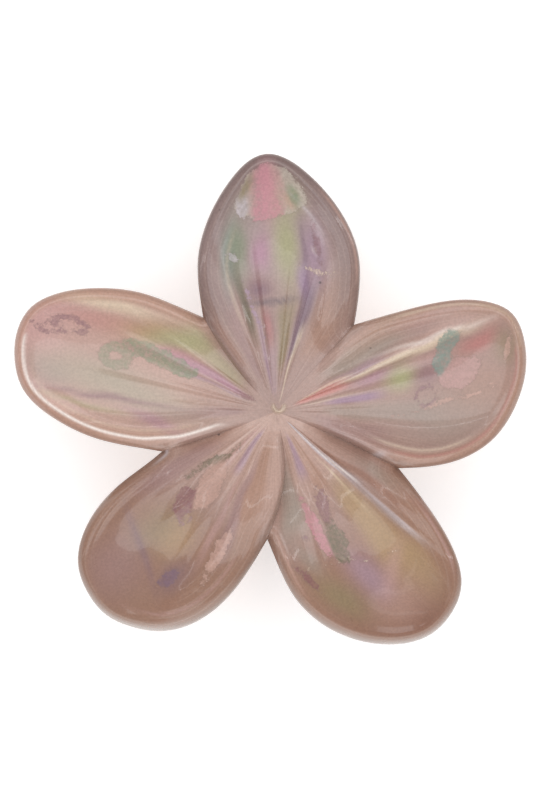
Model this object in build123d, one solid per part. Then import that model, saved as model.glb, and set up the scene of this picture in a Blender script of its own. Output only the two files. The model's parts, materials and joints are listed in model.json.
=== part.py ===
from build123d import *
import os
from math import cos, sin, pi, radians, hypot

# A double-sided flower hair claw. Two five-petal jaws face away from each other
# and turn on a steel pin behind the flower centre. The top petals are the
# handles and the two lower petals carry the teeth. It is modelled with the
# closing plane at z = 0 and the flower centre at x = y = 0, then set down on
# its back flower. All sizes are in millimetres.

# petals, from the lowest layer upward: direction, length, half-width on either
# side of the mid-line, and how full each shoulder is near the tip
petals = [
    dict(name="lower_right", angle=304.5, length=42.7, ccw=11.2, cw=14.1, full_ccw=0.72, full_cw=0.54),
    dict(name="lower_left", angle=230.5, length=41.2, ccw=12.7, cw=12.1, full_ccw=0.62, full_cw=0.68),
    dict(name="left", angle=162.5, length=42.5, ccw=12.5, cw=11.7, full_ccw=0.67, full_cw=0.57),
    dict(name="top", angle=92.0, length=40.6, ccw=11.7, cw=13.8, full_ccw=0.44, full_cw=0.43),
    dict(name="right", angle=15.0, length=40.4, ccw=10.5, cw=14.9, full_ccw=0.74, full_cw=0.55),
]
petal_root = 4.0          # half-width of a petal at the flower centre
petal_step = 0.3          # each petal lies this much above the one under it
layer_overlap = 0.6       # width of the band where two petals are joined
rim_width = 2.0           # raised band round a petal
dish_start = 9.0          # where the dished face of a petal begins
dish_depth = 1.1          # how far it lies below the band
wall = 2.8                # thickness under the band

# side view of the front jaw: height of its inner face above the closing plane
waist_height = 6.6        # at the flower centre
handle_height = 15.0      # at the tip of the top petal
handle_reach = 40.6
handle_sweep = 1.25       # how late the handle rises
belly_height = 15.2       # at the fullest point of the lower petals
belly_reach = 20.0
closing_gap = 0.4         # from a lower petal tip to the closing plane
cross_radius = 300.0      # the flower curves back slightly to either side
nub_radius = 1.3
nub_height = 0.35

# hinge
hinge_y = 3.5
pin_radius = 1.0
pin_length = 24.0
pin_bevel = 0.25
running_gap = 0.05        # radial, pin in the front lugs
press_grip = 0.01         # radial, pin in the back lugs
lug_radius = 3.4
lug_thickness = 2.5
lug_gap = 0.3             # between a front lug and the back lug beside it
front_lug_start = 6.0     # from the middle of the pin

# spring
wire_radius = 0.6
coil_radius = 3.15        # to the middle of the wire
coil_pitch = 1.4
coil_loops = 7
leg_angle = 15.0
leg_length = 18.0
seat_at = 15.0            # along a leg
seat_length = 5.0
seat_rib = 1.0
seat_clear = 0.4          # beside the wire, leaves room for the leg's lean
seat_gap = 0.05           # between the wire and the pad
seat_height = 4.6
embed = 1.2               # how far the lugs sink into the wall

# teeth
tooth_pitch = 5.0
tooth_thickness = 2.0
tooth_first = 10.3        # nearest front tooth to the middle
front_teeth = 4           # under each lower petal
back_teeth = 3            # these stand half a pitch further out
tooth_outer_y = -30.6
tooth_inner_y = -23.4
tooth_embed = 0.8         # how far a root sinks into the wall
tooth_tip_y = -28.8
tooth_tip_radius = 0.6
tooth_past = 3.0          # how far a tooth passes the closing plane

sheet_end = 45.0          # past the longest petal
cut_height = 45.0


def petal_face(petal, inset=0.0, start=0.0):
    """Outline of one petal, moved inward by inset and cut off at start."""
    a = radians(petal["angle"])
    sides = []
    for side, width, full in (
        (1, petal["ccw"] - inset, petal["full_ccw"]),
        (-1, petal["cw"] - inset, petal["full_cw"]),
    ):
        root = petal_root - inset if start == 0 else width * 0.3
        shape = [(0.42, 0.95), (0.6, 1.0), (0.78, 0.49 + 0.65 * full), (0.92, full)]
        edge = [(start, side * root)]
        edge += [(t * (petal["length"] - inset), side * w * width) for t, w in shape]
        sides.append(edge)
    loop = sides[0] + [(petal["length"] - inset, 0.0)] + sides[1][::-1]
    spots = [(s * cos(a) - w * sin(a), s * sin(a) + w * cos(a)) for s, w in loop]
    return make_face(Spline(spots, periodic=True))


def inner_height(y, low, lip):
    """Height of the inner face on the middle of the flower. The lip ends at y = low."""
    if y >= 0:
        rise = (y / handle_reach) ** handle_sweep
        return waist_height + (handle_height - waist_height) * rise
    if y >= -belly_reach:
        swell = (1 - cos(pi * y / belly_reach)) / 2
        return waist_height + (belly_height - waist_height) * swell
    curl = (belly_reach + y) / (belly_reach + low)
    return belly_height - (belly_height - lip) * curl**2


def curve(low, lip, depth):
    """Side view of a surface that lies depth outside the inner face."""
    count = 24
    spots = []
    for i in range(count + 1):
        y = sheet_end + (low - 1.5 - sheet_end) * i / count
        z = inner_height(y, low, lip)
        rise = inner_height(y + 0.05, low, lip) - inner_height(y - 0.05, low, lip)
        size = hypot(rise, 0.1)
        spots.append((y - depth * rise / size, z + depth * 0.1 / size))
    return spots


def sheet(low, lip, bottom, top):
    """A curved plate between two depths, wide enough for any petal."""
    under = Spline(curve(low, lip, bottom))
    over = Spline(curve(low, lip, top))
    ends = [Line(under @ 0, over @ 0), Line(under @ 1, over @ 1)]
    side = Plane.YZ * make_face([under, over] + ends)
    axis = Axis((0, 0, -cross_radius), (0, 1, 0))
    return revolve(side.rotate(axis, -10), axis=axis, revolution_arc=20)


def prism(outline):
    return Pos(0, 0, -5) * extrude(outline, cut_height)


def lip_of(petal):
    """Lowest y of a petal, and the inner face's height there on the mid-line."""
    low = petal_face(petal).bounding_box().min.Y
    across = petal["length"] * cos(radians(petal["angle"]))
    if low > -belly_reach - 5:
        return -36.0, 1.0
    return low, closing_gap + across**2 / (2 * cross_radius)


def petal_solid(petal, lift):
    low, lip = lip_of(petal)
    body = sheet(low, lip, lift, lift + wall) & prism(petal_face(petal))
    dish = sheet(low, lip, lift + wall - dish_depth, lift + wall + 3)
    return body - (dish & prism(petal_face(petal, rim_width, dish_start)))


def shell_solid():
    shell = None
    for i, petal in enumerate(petals):
        leaf = petal_solid(petal, i * petal_step)
        if shell is None:
            shell = leaf
        else:
            shell = shell - prism(petal_face(petal, layer_overlap)) + leaf
    top = waist_height + wall + (len(petals) - 1) * petal_step
    return shell + Pos(0, 0, top) * Cylinder(nub_radius, 2 * nub_height)


def slab(outline, start, thickness):
    """A side-view outline given thickness along x."""
    return extrude(Plane.YZ.offset(start) * outline, thickness)


def lug_pair(start):
    top = inner_height(hinge_y, -36.0, 1.0) + 0.9 + embed
    web = Pos(hinge_y, top / 2) * Rectangle(2 * lug_radius, top)
    outline = web + Pos(hinge_y, 0) * Circle(lug_radius)
    return slab(outline, start, lug_thickness) + slab(outline, -start - lug_thickness, lug_thickness)


def tooth(x, petal, lift):
    """A curved prong whose root follows the inner face of its petal."""
    low, lip = lip_of(petal)
    root = []
    for i in range(5):
        y = tooth_inner_y + (tooth_outer_y - tooth_inner_y) * i / 4
        root.append((y, inner_height(y, low, lip) + lift + tooth_embed - x**2 / (2 * cross_radius)))
    tip = -tooth_past + tooth_tip_radius
    left = (tooth_tip_y - tooth_tip_radius, tip)
    right = (tooth_tip_y + tooth_tip_radius, tip)
    edges = [
        Spline(root),
        Spline(root[-1], (tooth_outer_y - 0.2, 5.0), left),
        ThreePointArc(left, (tooth_tip_y, -tooth_past), right),
        Spline(right, (-26.6, 6.0), root[0]),
    ]
    return slab(make_face(edges), x - tooth_thickness / 2, tooth_thickness)


def leg_line(side):
    """Where a spring leg leaves the coil and which way it runs, for the front jaw."""
    a = radians(leg_angle)
    turns = coil_loops - 0.5 - leg_angle / 180
    slope = coil_pitch / (2 * pi * coil_radius)
    out = Vector(side * turns * coil_pitch / 2, hinge_y - coil_radius * sin(a), coil_radius * cos(a))
    return out, Vector(side * slope, cos(a), sin(a)).normalized()


def spring_seat(side):
    out, way = leg_line(side)
    frame = Plane(origin=out + way * seat_at, x_dir=way, z_dir=Vector(1, 0, 0).cross(way))
    half = wire_radius + seat_clear
    block = Pos(0, 0, seat_height / 2) * Box(seat_length, 2 * (half + seat_rib), seat_height)
    slot_top = wire_radius + seat_gap
    slot = Pos(0, 0, slot_top - 5) * Box(seat_length + 2, 2 * half, 10)
    return frame * (block - slot)


def jaw(lug_start, hole_radius, seat_side, first_tooth, teeth):
    body = shell_solid() + lug_pair(lug_start) + spring_seat(seat_side)
    for i in range(teeth):
        x = first_tooth + i * tooth_pitch
        body = body + tooth(x, petals[0], 0.0) + tooth(-x, petals[1], petal_step)
    hole = Pos(0, hinge_y, 0) * Rot(0, 90, 0) * Cylinder(hole_radius, pin_length + 10)
    return body - hole


def spring():
    turns = coil_loops - 0.5 - leg_angle / 180
    start = radians(-90 - leg_angle)
    length = turns * coil_pitch
    base = Plane(
        origin=(-length / 2, hinge_y, 0),
        x_dir=(0, cos(start), sin(start)),
        z_dir=(1, 0, 0),
    )
    coil = base * Helix(coil_pitch, length, coil_radius, lefthand=True)
    wire = Plane(origin=coil @ 0, z_dir=coil % 0) * Circle(wire_radius)
    body = sweep(wire, path=coil, is_frenet=True)
    front, front_way = leg_line(1)
    back, back_way = leg_line(-1)
    back = Vector(back.X, back.Y, -back.Z)
    back_way = Vector(back_way.X, back_way.Y, -back_way.Z)
    for out, way in ((front, front_way), (back, back_way)):
        body = body + extrude(Plane(origin=out, z_dir=way) * Circle(wire_radius), leg_length)
    return body


pin = Pos(0, hinge_y, 0) * Rot(0, 90, 0) * Cylinder(pin_radius, pin_length)
pin = chamfer(pin.edges().filter_by(GeomType.CIRCLE), pin_bevel)
back_lug_start = front_lug_start + lug_thickness + lug_gap

nodes = {
    "front_jaw": jaw(front_lug_start, pin_radius + running_gap, 1, tooth_first, front_teeth),
    "back_jaw": jaw(
        back_lug_start,
        pin_radius - press_grip,
        -1,
        tooth_first + tooth_pitch / 2,
        back_teeth,
    ).mirror(Plane.XY),
    "hinge_pin": pin,
    "torsion_spring": spring(),
}

# set the closed clip down on its back flower, with its middle over the origin
boxes = [s.bounding_box() for s in nodes.values()]
middle_x = (min(b.min.X for b in boxes) + max(b.max.X for b in boxes)) / 2
middle_y = (min(b.min.Y for b in boxes) + max(b.max.Y for b in boxes)) / 2
down = Pos(-middle_x, -middle_y, -min(b.min.Z for b in boxes))

os.makedirs("parts", exist_ok=True)
for name, solid in nodes.items():
    export_step(down * solid, f"parts/{name}.step")
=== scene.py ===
import bpy, json, math
import numpy as np
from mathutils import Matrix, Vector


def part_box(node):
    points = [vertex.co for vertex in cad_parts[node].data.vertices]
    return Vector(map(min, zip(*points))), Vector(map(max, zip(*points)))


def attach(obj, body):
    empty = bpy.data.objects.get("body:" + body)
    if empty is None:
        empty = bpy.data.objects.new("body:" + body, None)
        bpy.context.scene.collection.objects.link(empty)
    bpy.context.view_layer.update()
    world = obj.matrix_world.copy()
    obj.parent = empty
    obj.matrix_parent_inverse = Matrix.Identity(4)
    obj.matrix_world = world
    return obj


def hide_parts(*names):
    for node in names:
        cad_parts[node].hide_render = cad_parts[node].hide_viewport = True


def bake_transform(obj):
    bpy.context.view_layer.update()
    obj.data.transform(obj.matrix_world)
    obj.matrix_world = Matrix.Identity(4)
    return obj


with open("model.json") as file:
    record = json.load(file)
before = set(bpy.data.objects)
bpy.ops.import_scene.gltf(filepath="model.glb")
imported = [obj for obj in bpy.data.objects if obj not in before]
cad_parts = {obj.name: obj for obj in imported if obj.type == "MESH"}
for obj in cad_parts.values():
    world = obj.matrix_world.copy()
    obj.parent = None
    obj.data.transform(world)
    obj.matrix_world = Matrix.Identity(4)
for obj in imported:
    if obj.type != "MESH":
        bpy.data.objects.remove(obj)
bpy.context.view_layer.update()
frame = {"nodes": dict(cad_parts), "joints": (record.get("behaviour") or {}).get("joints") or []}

# the flower's own axes, in mm: the middle of the flower where the two jaws close,
# x along the hinge, y towards the handles, z out of the front flower
mm = 0.001
hinge = np.array(frame["joints"][0]["pos_m"]) / mm
hingeRise = 3.5               # the pin runs this far above the flower's middle
pinLow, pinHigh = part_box("hinge_pin")
flowerX = (pinLow.x + pinHigh.x) / 2 / mm
flowerY = hinge[1] - hingeRise
closingZ = hinge[2]

# Going round from the right-hand petal. Half-widths are taken at five stations along
# the petal, on its left (ccw) and right (cw) side. Pleats: turn from the petal's
# middle in degrees, height in mm, width in degrees.
stations = [0.42, 0.6, 0.78, 0.92, 0.975]
petals = [
    dict(name="right", angle=15.0, length=40.6,
         ccw=[10.0, 10.1, 9.6, 7.6, 5.7], cw=[13.8, 14.9, 13.2, 8.1, 4.2],
         bandCcw=4.6, bandCw=2.8, bandTip=2.0, bowl=1.8, lift=0.9,
         pleats=[(8.5, 0.75, 1.3), (1.5, 0.2, 2.5), (-7.0, 0.15, 3.0), (-14.0, 0.22, 2.0)]),
    dict(name="top", angle=92.0, length=40.3,
         ccw=[11.1, 11.4, 9.1, 5.3, 2.9], cw=[13.5, 13.8, 10.9, 6.2, 3.3],
         bandCcw=4.2, bandCw=5.2, bandTip=2.2, bowl=1.6, lift=0.7,
         pleats=[(17.0, 0.3, 2.4), (7.0, 0.3, 1.6), (-9.0, 0.25, 2.0), (-18.0, 0.3, 2.4)],
         drops=[(26.6, -7.0, 2.3, 0.95, 4, 0.32)]),
    dict(name="left", angle=162.5, length=42.6,
         ccw=[11.8, 12.6, 11.5, 8.5, 4.9], cw=[10.9, 11.4, 9.8, 6.7, 4.2],
         bandCcw=3.4, bandCw=2.6, bandTip=1.9, bowl=1.9, lift=0.5,
         pleats=[(13.0, 0.25, 2.4), (3.0, 0.4, 1.5), (-9.0, 0.2, 2.2), (-17.0, 0.2, 1.6)]),
    dict(name="lowerLeft", angle=230.5, length=41.7,
         ccw=[11.9, 12.8, 11.8, 8.0, 4.1], cw=[10.0, 11.7, 11.5, 8.5, 4.9],
         bandCcw=5.4, bandCw=2.8, bandTip=1.8, bowl=2.3, lift=0.3,
         pleats=[(14.0, 0.3, 2.0), (6.0, 0.3, 1.8), (-5.0, 0.25, 1.6), (-14.0, 0.2, 1.8)]),
    dict(name="lowerRight", angle=304.5, length=42.8,
         ccw=[10.8, 11.2, 10.7, 8.2, 4.9], cw=[12.9, 14.1, 12.2, 7.5, 3.9],
         bandCcw=4.8, bandCw=2.4, bandTip=1.8, bowl=2.3, lift=0.0,
         pleats=[(14.5, 0.85, 1.3), (-2.0, 0.2, 2.2), (-12.0, 0.2, 2.0), (-19.0, 0.2, 1.8)]),
]
# how each petal meets the next one round: which lies on top, how far the seam bows
# sideways between the middle and the notch, and from what radius it stands proud
seams = [
    dict(over=0, bow=0.0, proud=(9.0, 15.0)),      # right over top, a short step at the notch
    dict(over=1, bow=0.8, proud=(2.5, 7.0)),       # top over left
    dict(over=2, bow=0.4, proud=(4.0, 10.0)),      # left over lower left
    dict(over=3, bow=2.1, proud=(1.5, 5.0)),       # lower left over lower right
    dict(over=0, bow=0.3, proud=(4.0, 10.0)),      # right over lower right
]
flower = dict(
    rays=112, rows=76,                    # mesh resolution of one petal
    seamCrowd=0.7, rowCrowd=(1.3, 1.6),   # how closely rays crowd at a seam, rows at both ends
    rootWidth=4.0, rootReach=12.0,        # half-width of a petal at its root, and the root's length
    crossRadius=300.0,                    # gentle curve from side to side
    wall=2.8, skinDrop=0.15, thickness=1.9,   # depth of the moulding, and of its skin
    waist=6.6, handle=15.0, handleReach=40.6, handleSweep=1.25,
    belly=15.2, bellyReach=20.0, upperLow=-36.0, closingGap=0.4,
    steepest=2.0,                         # most that a slope thickens the skin, measured upright
    dome=0.9, domeReach=8.0,              # rise round the flower's middle
    bead=0.35, beadFrom=4.0, beadTo=15.0, # the raised rim, and where it begins along a petal
    crestIn=1.5, crestHalf=0.32, crestHeight=0.13, crestFrom=8.0, crestTo=18.0,   # fine ridge on it
    bandTurn=3.0, tipFrom=0.72, tipTo=0.96,   # where the rim band changes width
    edgeRound=1.25, innerRound=0.9, hollowSoft=2.6, rimTurn=1.0,
    seamStep=0.9, seamBlend=2.5, seamSink=0.55, sinkReach=2.2, bowReach=0.09, wideStart=2.0,
    pleatFrom=1.5, pleatFull=9.0, pleatFade=(0.5, 0.94), dropEdge=(0.35, 1.15),
    hookX=0.45, hookY=0.75, hookRadius=0.8, hookWire=0.26, hookHeight=0.42,
)


def smoothStep(x, low, high):
    t = np.clip((x - low) / (high - low), 0, 1)
    return t * t * (3 - 2 * t)


def closedSpline(points, count):
    # a cubic through the points, closed on itself: the second derivatives at the
    # points solve one linear system so that slope and curvature run through
    p = np.asarray(points, float)
    n = len(p)
    h = np.linalg.norm(np.roll(p, -1, 0) - p, axis=1)
    before = np.roll(h, 1)
    system = np.zeros((n, n))
    rows = np.arange(n)
    system[rows, rows] = 2 * (before + h)
    system[rows, (rows + 1) % n] += h
    system[rows, (rows - 1) % n] += before
    slope = (np.roll(p, -1, 0) - p) / h[:, None]
    bend = np.linalg.solve(system, 6 * (slope - np.roll(slope, 1, 0)))
    ends = np.concatenate([[0], np.cumsum(h)])
    s = np.linspace(0, ends[-1], count, endpoint=False)
    k = np.clip(np.searchsorted(ends, s, side="right") - 1, 0, n - 1)
    a, b, w = (ends[k + 1] - s), (s - ends[k]), h[k]
    nextBend, nextPoint = np.roll(bend, -1, 0)[k], np.roll(p, -1, 0)[k]
    return ((bend[k] * (a**3 / (6 * w))[:, None] + nextBend * (b**3 / (6 * w))[:, None])
            + (p[k] / w[:, None] - bend[k] * (w / 6)[:, None]) * a[:, None]
            + (nextPoint / w[:, None] - nextBend * (w / 6)[:, None]) * b[:, None])


def petalOutline(petal):
    # root, five stations up the ccw side, the tip, and down the cw side
    length = petal["length"]
    side = [(t * length, w) for t, w in zip(stations, petal["ccw"])]
    back = [(t * length, -w) for t, w in zip(stations, petal["cw"])]
    root = flower["rootWidth"]
    loop = [(0, root)] + side + [(length, 0)] + back[::-1] + [(0, -root)]
    alongAcross = closedSpline(loop, 1600)
    a = math.radians(petal["angle"])
    s, w = alongAcross.T
    return np.stack([s * math.cos(a) - w * math.sin(a), s * math.sin(a) + w * math.cos(a)], 1)


def reach(outline, angles):
    # distance from the flower's centre to the outline in each direction
    theta = np.unwrap(np.arctan2(outline[:, 1], outline[:, 0]))
    r = np.hypot(*outline.T)
    keep = r > flower["rootReach"]
    heading = np.mod(theta[keep], 2 * np.pi)
    order = np.argsort(heading)
    return np.interp(np.mod(angles, 2 * np.pi), heading[order], r[keep][order], period=2 * np.pi)


def distanceTo(path, x, y):
    # shortest distance from each point to a polyline, segment by segment at once
    a, b = path[:-1], path[1:]
    d = b - a
    px, py = x[..., None] - a[:, 0], y[..., None] - a[:, 1]
    t = np.clip((px * d[:, 0] + py * d[:, 1]) / np.maximum((d**2).sum(1), 1e-12), 0, 1)
    return np.sqrt(((px - t * d[:, 0])**2 + (py - t * d[:, 1])**2).min(-1))


def softLeast(a, b, width):
    # the smaller of two distances, with the corner between them rounded by width:
    # less the log of the sum of both as falling powers
    least = np.minimum(a, b)
    return np.maximum(least - width * np.log1p(np.exp(-np.abs(a - b) / width)), 0)


def sheetHeight(x, y, low, lip):
    # side view of the jaw: a rising handle, a waist over the hinge, a belly over
    # the teeth and a lip that curls in, curved gently from side to side.
    # Also gives how steep it is, as the cosine of its slope.
    f = flower

    def middle(y):
        climb = (np.maximum(y, 0) / f["handleReach"])**f["handleSweep"]
        up = f["waist"] + (f["handle"] - f["waist"]) * climb
        swell = f["waist"] + (f["belly"] - f["waist"]) * (1 - np.cos(np.pi * y / f["bellyReach"])) / 2
        curl = (-f["bellyReach"] - y) / (-f["bellyReach"] - low)
        down = f["belly"] - (f["belly"] - lip) * curl**2
        return np.where(y >= 0, up, np.where(y >= -f["bellyReach"], swell, down))

    z = middle(y)
    slope = (middle(y + 0.05) - middle(y - 0.05)) / 0.1
    radius = f["crossRadius"]
    return np.sqrt((radius + z)**2 - x**2) - radius, 1 / np.sqrt(1 + slope**2)


outlines = [petalOutline(p) for p in petals]
headings = np.radians([p["angle"] for p in petals])
notches = []                  # where each petal's outline crosses the next one's
apart = 0.3                   # a notch is at least this far from both petals' middles, in radians
for k in range(5):
    start, stop = headings[k], headings[(k + 1) % 5] + (2 * np.pi if k == 4 else 0)
    sweep = np.linspace(start, stop, 4000)
    mine, other = reach(outlines[k], sweep), reach(outlines[(k + 1) % 5], sweep)
    between = (sweep > start + apart) & (sweep < stop - apart)
    cross = np.argmin(np.where(between, np.abs(mine - other), np.inf))
    notches.append((sweep[cross], mine[cross]))
print("petals: notches at", [f"{math.degrees(n[0]):.0f} deg, {n[1]:.1f} mm" for n in notches])


def seamPath(k, fraction):
    # the line from the flower's middle to notch k, bowed sideways by a half sine
    angle, r = notches[k]
    out = np.array([math.cos(angle), math.sin(angle)])
    side = np.array([-out[1], out[0]])
    bow = seams[k]["bow"] * np.sin(np.pi * fraction)
    return fraction[..., None] * r * out + bow[..., None] * side


def patchReach(along, across, patch):
    # 1 on the patch's oval outline, 0 at its middle
    s, w, halfLength, halfWidth, turn = patch[:5]
    a = math.radians(turn)
    u, v = along - s, across - w
    return np.hypot((u * math.cos(a) + v * math.sin(a)) / halfLength, (v * math.cos(a) - u * math.sin(a)) / halfWidth)


def petalGrid(k):
    # rays fan from the flower's middle to the petal's free edge, crowded near the
    # seams; rows crowd near the middle and the edge. Rays beside a seam take its bow.
    n, m = flower["rays"], flower["rows"]
    before, after = notches[(k - 1) % 5], notches[k]
    start = before[0] - (2 * np.pi if k == 0 else 0)
    theta = np.linspace(start, after[0], 3000)
    r = reach(outlines[k], theta)
    edge = np.stack([r * np.cos(theta), r * np.sin(theta)], 1)
    length = np.concatenate([[0], np.cumsum(np.linalg.norm(np.diff(edge, axis=0), axis=1))])
    p = np.linspace(0, 1, n + 1)
    t = p - flower["seamCrowd"] * np.sin(2 * np.pi * p) / (2 * np.pi)
    tip = np.stack([np.interp(t * length[-1], length, edge[:, i]) for i in (0, 1)], 1)
    inward, outward = flower["rowCrowd"]
    v = 1 - (1 - np.linspace(0, 1, m + 1)**inward)**outward
    grid = tip[:, None, :] * v[None, :, None]
    for seam, near in (((k - 1) % 5, t), (k, 1 - t)):
        angle = notches[seam][0]
        side = np.array([-math.sin(angle), math.cos(angle)])
        beside = np.exp(-(near / flower["bowReach"])**2)
        sway = seams[seam]["bow"] * np.sin(np.pi * v)[None, :] * beside[:, None]
        grid += sway[..., None] * side
    return grid, edge


def petalHeights(k, grid, edge):
    # height over the closing plane: the jaw's sheet, plus a bead along the rim, less a
    # hollow inside the rim band, plus bell-shaped pleats that fade towards the tip and
    # any drops of lacquer
    f, petal = flower, petals[k]
    x, y = grid[..., 0], grid[..., 1]
    r = np.hypot(x, y)
    a = math.radians(petal["angle"])
    along, across = x * math.cos(a) + y * math.sin(a), y * math.cos(a) - x * math.sin(a)
    lowest = edge[:, 1].min() if petal["name"].startswith("lower") else f["upperLow"]
    lip = f["closingGap"] + (petal["length"] * math.cos(a))**2 / (2 * f["crossRadius"])
    base, flat = sheetHeight(x, y, lowest, lip)
    deep = np.minimum(1 / flat, f["steepest"])

    # its rim: its free edge and the seams that it lies over
    fraction = np.linspace(0, 1, 160)
    free = distanceTo(edge[::6], x, y)
    rim, sunk = free, np.zeros(x.shape)
    for seam in ((k - 1) % 5, k):
        gap = distanceTo(seamPath(seam, fraction), x, y)
        proud = smoothStep(r, *seams[seam]["proud"])
        if seams[seam]["over"] == k:
            rim = softLeast(rim, gap + f["wideStart"] * (1 - proud), f["rimTurn"])
        else:
            sunk = np.maximum(sunk, np.exp(-(gap / f["sinkReach"])**2) * proud)

    length = petal["length"]
    side = 0.5 + 0.5 * np.tanh(across / f["bandTurn"])
    band = petal["bandCw"] + (petal["bandCcw"] - petal["bandCw"]) * side
    band = band + (petal["bandTip"] - band) * smoothStep(along, f["tipFrom"] * length, f["tipTo"] * length)
    out = smoothStep(r, f["beadFrom"], f["beadTo"])
    away = smoothStep(r, 1, f["domeReach"])
    full = base + (f["wall"] - f["skinDrop"]) * deep + petal["lift"] * away + f["dome"] * (1 - away)
    full = full + f["bead"] * np.sin(np.pi * np.clip(rim / band, 0, 1))**2 * out - f["bead"]
    crest = np.exp(-((rim - f["crestIn"]) / f["crestHalf"])**2)
    full = full + f["crestHeight"] * crest * smoothStep(r, f["crestFrom"], f["crestTo"])
    hollow = 1 - np.exp(-np.maximum(rim - band, 0) / f["hollowSoft"])
    full = full - petal["bowl"] * deep * out * hollow - f["seamSink"] * sunk
    turn = np.degrees(np.arctan2(across, np.maximum(along, 0.01)))
    ends = [part * length for part in f["pleatFade"]]
    fade = smoothStep(r, f["pleatFrom"], f["pleatFull"]) * (1 - smoothStep(r, *ends))
    for angle, height, width in petal["pleats"]:
        full = full + height * fade * np.exp(-((turn - angle) / width)**2)
    for drop in petal.get("drops", []):
        full = full + drop[5] * (1 - smoothStep(patchReach(along, across, drop), *f["dropEdge"]))
    inner = full - f["thickness"] * deep
    return dict(full=full, inner=inner, middle=(full + inner) / 2, free=free, rim=rim, band=band,
                sunk=sunk, along=along, across=across, r=r)


def roundOver(distance, radius):
    # quarter circle: 0 at the edge, 1 from one radius inwards, upright at the edge
    return np.sqrt(np.clip(1 - (1 - np.clip(distance / radius, 0, 1))**2, 0, 1))


def gateHook(x, y, wire):
    # the gate mark in the middle: a little hook, a ring that is open towards the handles
    f = flower
    hx, hy = x - f["hookX"], y - f["hookY"]
    ring = np.exp(-((np.hypot(hx, hy) - f["hookRadius"]) / wire)**2)
    return ring * smoothStep(-np.sin(np.arctan2(hy, hx)), -0.75, 0.1)


def flowerShell():
    # five petal grids side by side, an outer and an inner skin that meet at the rim
    f = flower
    n = f["rays"]
    grids = [petalGrid(k) for k in range(5)]
    heights = [petalHeights(k, *grids[k]) for k in range(5)]
    for k in range(5):          # along a seam the lower petal sets the height
        mine, other = heights[k], heights[(k + 1) % 5]
        level = other["full"][0] if seams[k]["over"] == k else mine["full"][-1]
        mine["seamAfter"] = other["seamBefore"] = level
    outer, inner, place, facts = [], [], [], []
    fraction = np.linspace(0, 1, 160)
    for k in range(5):
        h, grid = heights[k], grids[k][0]
        top = h["full"]
        for seam, level in (((k - 1) % 5, h["seamBefore"]), (k, h["seamAfter"])):
            gap = distanceTo(seamPath(seam, fraction), grid[..., 0], grid[..., 1])
            if seams[seam]["over"] == k:
                near = np.minimum(level[None, :], top)
                step = near + (top - near) * roundOver(gap, f["seamStep"])
                soft = level[None, :] + (top - level[None, :]) * smoothStep(gap, 0, f["seamBlend"])
                proud = smoothStep(h["r"], *seams[seam]["proud"])
                top = soft + (step - soft) * proud
        top = h["middle"] + (top - h["middle"]) * roundOver(h["free"], f["edgeRound"])
        below = h["middle"] + (h["inner"] - h["middle"]) * roundOver(h["free"], f["innerRound"])
        outer.append(top[:-1])
        inner.append(below[:-1])
        place.append(grid[:-1])
        known = [h["along"], h["across"], h["rim"], h["band"], np.full(h["r"].shape, float(k)), h["sunk"]]
        facts.append(np.stack(known, -1)[:-1])
    outer, inner, place, facts = (np.concatenate(part) for part in (outer, inner, place, facts))
    for k in range(5):          # a seam ray belongs to both petals
        inner[k * n] = (heights[k]["inner"][0] + heights[(k - 1) % 5]["inner"][-1]) / 2
        outer[k * n] = heights[k]["seamBefore"]
    outer[:, 0], inner[:, 0] = outer[:, 0].mean(), inner[:, 0].mean()

    outer = outer + f["hookHeight"] * gateHook(place[..., 0], place[..., 1], f["hookWire"])

    outer[:, -1] = inner[:, -1] = (outer[:, -1] + inner[:, -1]) / 2
    rays, rows = outer.shape
    up = np.concatenate([place, outer[..., None]], -1)[:, 1:]
    down = np.concatenate([place, inner[..., None]], -1)[:, 1:-1]
    poles = [[0, 0, outer[0, 0]], [0, 0, inner[0, 0]]]
    points = np.concatenate([up.reshape(-1, 3), down.reshape(-1, 3), poles])
    pole = facts[:1, 0]
    facts = np.concatenate([facts[:, 1:].reshape(-1, 6), facts[:, 1:-1].reshape(-1, 6), pole, pole])
    outside = np.zeros(len(points))
    outside[:rays * (rows - 1)] = 1
    outside[-2] = 1

    def upId(ray, row):
        return (ray % rays) * (rows - 1) + row

    def downId(ray, row):
        inside = rays * (rows - 1) + (ray % rays) * (rows - 2) + row
        return np.where(row == rows - 2, upId(ray, row), inside)

    i, a = np.meshgrid(np.arange(rays), np.arange(rows - 2), indexing="ij")
    upQuads = np.stack([upId(i, a), upId(i, a + 1), upId(i + 1, a + 1), upId(i + 1, a)], -1)
    downQuads = np.stack([downId(i, a), downId(i + 1, a), downId(i + 1, a + 1), downId(i, a + 1)], -1)
    i, first = np.arange(rays), np.zeros(rays, int)
    upFan = np.stack([first + len(points) - 2, upId(i, 0), upId(i + 1, 0)], -1)
    downFan = np.stack([first + len(points) - 1, downId(i + 1, first), downId(i, first)], -1)
    faces = upQuads.reshape(-1, 4).tolist() + downQuads.reshape(-1, 4).tolist()
    faces += upFan.tolist() + downFan.tolist()
    return points, faces, facts, outside, (place.reshape(-1, 2), ((outer + inner) / 2).ravel())


shellPoints, shellFaces, petalFacts, outside, skin = flowerShell()
print("flower shell:", len(shellPoints), "points,", len(shellFaces), "faces")


def skinMiddle(x, y):
    # height of the middle of the shell's skin over each place, from its nearest point
    spot = np.stack([np.ravel(x), np.ravel(y)], 1)
    gap = ((spot[:, None, :] - skin[0][None])**2).sum(-1)
    return skin[1][np.argmin(gap, 1)].reshape(np.shape(x))


def toFrame(points, back=False):
    # flower coordinates in mm to the frame in metres; the back jaw is a mirror image
    q = np.asarray(points, float).copy()
    if back:
        q[:, 2] *= -1
    return (q + [flowerX, flowerY, closingZ]) * mm


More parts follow.
